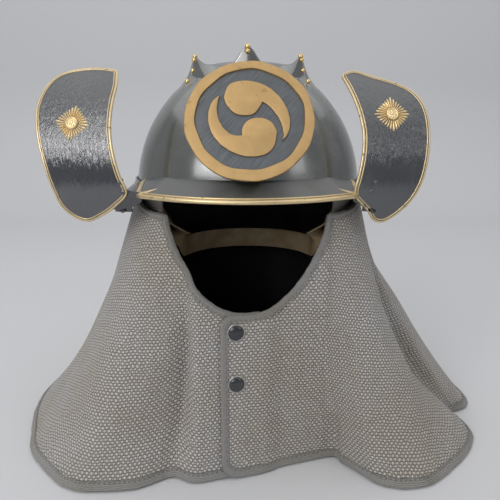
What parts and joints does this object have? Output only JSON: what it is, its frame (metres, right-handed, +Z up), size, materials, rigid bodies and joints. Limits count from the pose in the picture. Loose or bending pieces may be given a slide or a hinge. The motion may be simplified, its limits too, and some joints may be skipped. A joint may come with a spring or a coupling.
{
  "type": "firefighter helmet",
  "caption": "Lacquered fire helmet with a horned bowl, visor, disc crest that lifts off, turned-back side plates and a woven neck cape that snaps shut.",
  "frame": {"origin": "bottom centre of the box, on the surface that the cape's hem stands on", "axes": "+Z up, -Y to the front, +X to the viewer's right"},
  "size_m": [0.519, 0.3282, 0.3915],
  "materials": {
    "black_lacquer": "aged glossy black lacquer",
    "charcoal_lacquer": "satin charcoal lacquer",
    "gilt": "brushed matte gilding",
    "aged_brass": "aged cast brass",
    "quilted_cotton": "thick grey-beige quilted cotton with a rice-grain weave",
    "grey_tape": "plain grey cotton tape",
    "lining_cotton": "dark indigo cotton",
    "tan_leather": "soft worn tan leather",
    "band_leather": "dark worn leather",
    "snap_enamel": "dark enamelled snap caps with a bright edge"
  },
  "bodies": {
    "helmet": {"bowl_shell": "black_lacquer", "horn_studs": "aged_brass", "visor_plate": "black_lacquer", "visor_rim": "gilt", "crest_bracket": "aged_brass", "crest_bracket_rivets": "aged_brass", "neck_plate": "black_lacquer", "neck_plate_rivets": "aged_brass", "side_plate_left": "black_lacquer", "side_plate_rim_left": "gilt", "side_plate_rivets_left": "aged_brass", "rayed_stud_left": "aged_brass", "rayed_stud_boss_left": "aged_brass", "side_plate_right": "black_lacquer", "side_plate_rim_right": "gilt", "side_plate_rivets_right": "aged_brass", "rayed_stud_right": "aged_brass", "rayed_stud_boss_right": "aged_brass", "lining_band": "band_leather", "lining_cap": "lining_cotton", "nape_strap": "tan_leather", "nape_strap_rivets": "aged_brass", "cape_top_tape": "grey_tape", "cape_left": "quilted_cotton", "cape_right": "quilted_cotton", "cape_back": "quilted_cotton", "cape_lining": "lining_cotton", "cape_hem_binding": "grey_tape", "cape_binding_left": "grey_tape", "cape_binding_right": "grey_tape", "snap_studs": "aged_brass", "snap_posts": "aged_brass"},
    "crest": {"crest_disc": "charcoal_lacquer", "crest_ring": "gilt", "crest_comma_upper": "gilt", "crest_comma_lower": "gilt", "crest_socket": "aged_brass", "crest_socket_rivets": "aged_brass"},
    "cape_flap": {"flap_cloth": "quilted_cotton", "flap_hem": "grey_tape", "flap_binding": "grey_tape", "snap_caps": "snap_enamel", "snap_sockets": "aged_brass"}
  },
  "joints": [
    {"name": "crest_lift", "type": "slide", "parent": "helmet", "child": "crest", "axis": [0, 0.454, 0.891], "range_m": [0, 0.036]},
    {"name": "flap_peel", "type": "hinge", "parent": "helmet", "child": "cape_flap", "pos_m": [0.04086, -0.12773, 0], "axis": [0, 0, 1], "range_deg": [0, 100]}
  ]
}
